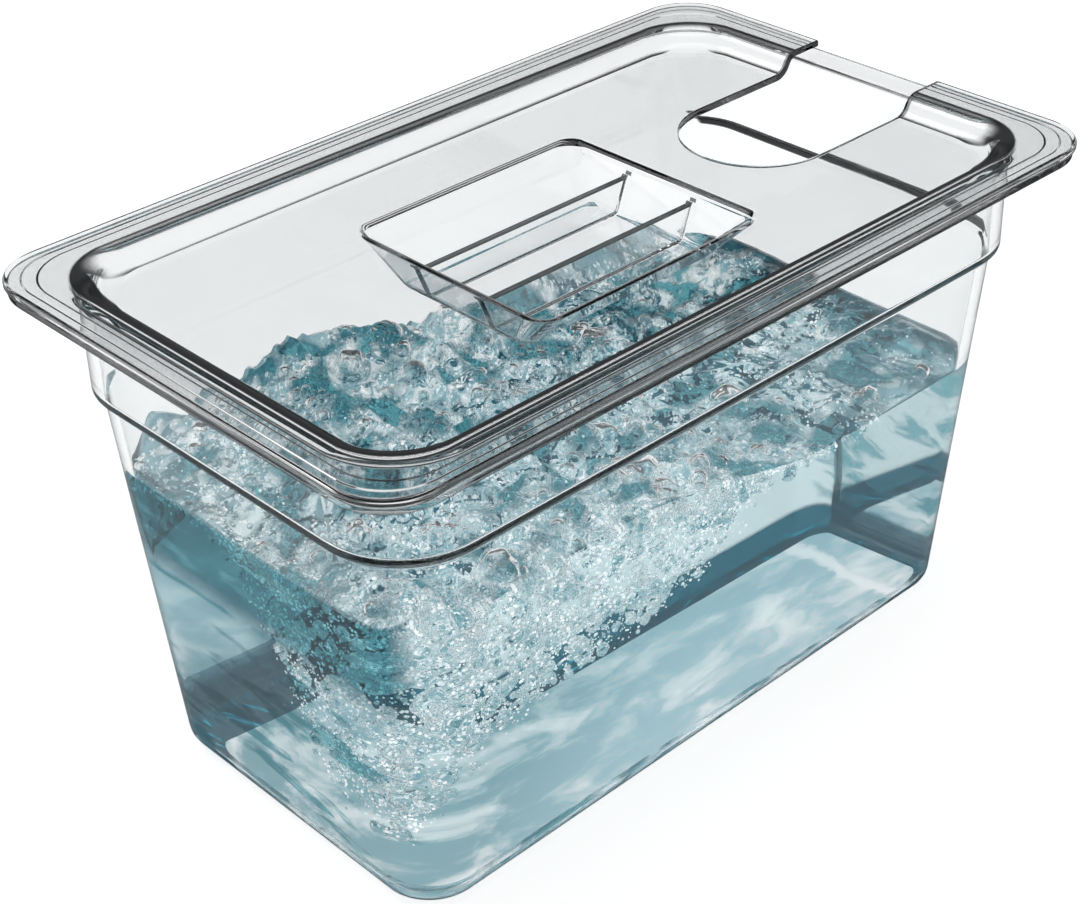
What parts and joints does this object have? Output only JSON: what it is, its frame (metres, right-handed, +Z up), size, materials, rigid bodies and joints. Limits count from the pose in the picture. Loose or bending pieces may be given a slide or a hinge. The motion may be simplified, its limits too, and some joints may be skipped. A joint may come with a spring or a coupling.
{
  "type": "sous vide water bath",
  "caption": "Clear tapered sous vide water tank with a flat flange, and a clear lift-off lid with a finned grip pocket and an open slot for a stick circulator.",
  "frame": {"origin": "centre of the lid's outline, on the plane that the tank stands on", "axes": "+X along the tank's length towards the lid's circulator slot, +Y across it, +Z up"},
  "size_m": [0.265, 0.16, 0.152],
  "materials": {
    "clear_tank": "polished",
    "clear_lid": "polished",
    "water": "polished"
  },
  "bodies": {
    "tank": {"tank": "clear_tank"},
    "lid": {"lid": "clear_lid"}
  },
  "joints": [
    {"name": "lid_lift", "type": "slide", "parent": "tank", "child": "lid", "axis": [0, 0, 1], "range_m": [0, 0.15]}
  ]
}
